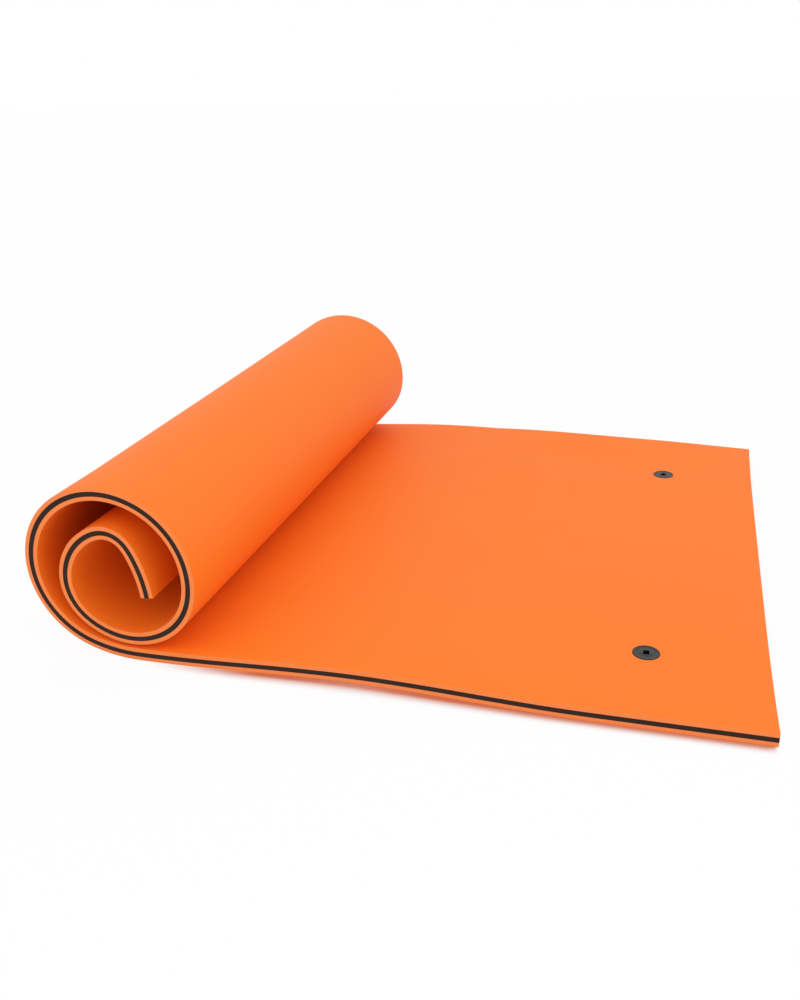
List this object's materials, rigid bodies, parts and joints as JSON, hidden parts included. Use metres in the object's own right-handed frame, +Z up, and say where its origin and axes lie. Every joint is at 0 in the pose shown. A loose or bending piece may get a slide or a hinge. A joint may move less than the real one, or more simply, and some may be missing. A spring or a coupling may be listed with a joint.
{
  "type": "swim float mat",
  "caption": "Three-layer closed-cell foam floating water mat, half rolled up on itself, with two round tether grommets at its flat end.",
  "frame": {"origin": "centre of the bounding box's bottom, on the floor that the mat lies on", "axes": "+X along the mat, from the roll to the flat end with the grommets; +Y across the mat, from its near edge to its far edge; +Z up"},
  "size_m": [1.8842, 1.83, 0.4879],
  "materials": {
    "orange_foam": "matte skin",
    "black_foam": "matte cut foam",
    "dark_plastic": "satin moulded"
  },
  "bodies": {
    "root": {"foam_bottom_sheet": "orange_foam", "foam_core_sheet": "black_foam", "foam_top_sheet": "orange_foam", "near_grommet_upper_flange": "dark_plastic", "near_grommet_lower_flange": "dark_plastic", "far_grommet_upper_flange": "dark_plastic", "far_grommet_lower_flange": "dark_plastic"}
  },
  "joints": []
}
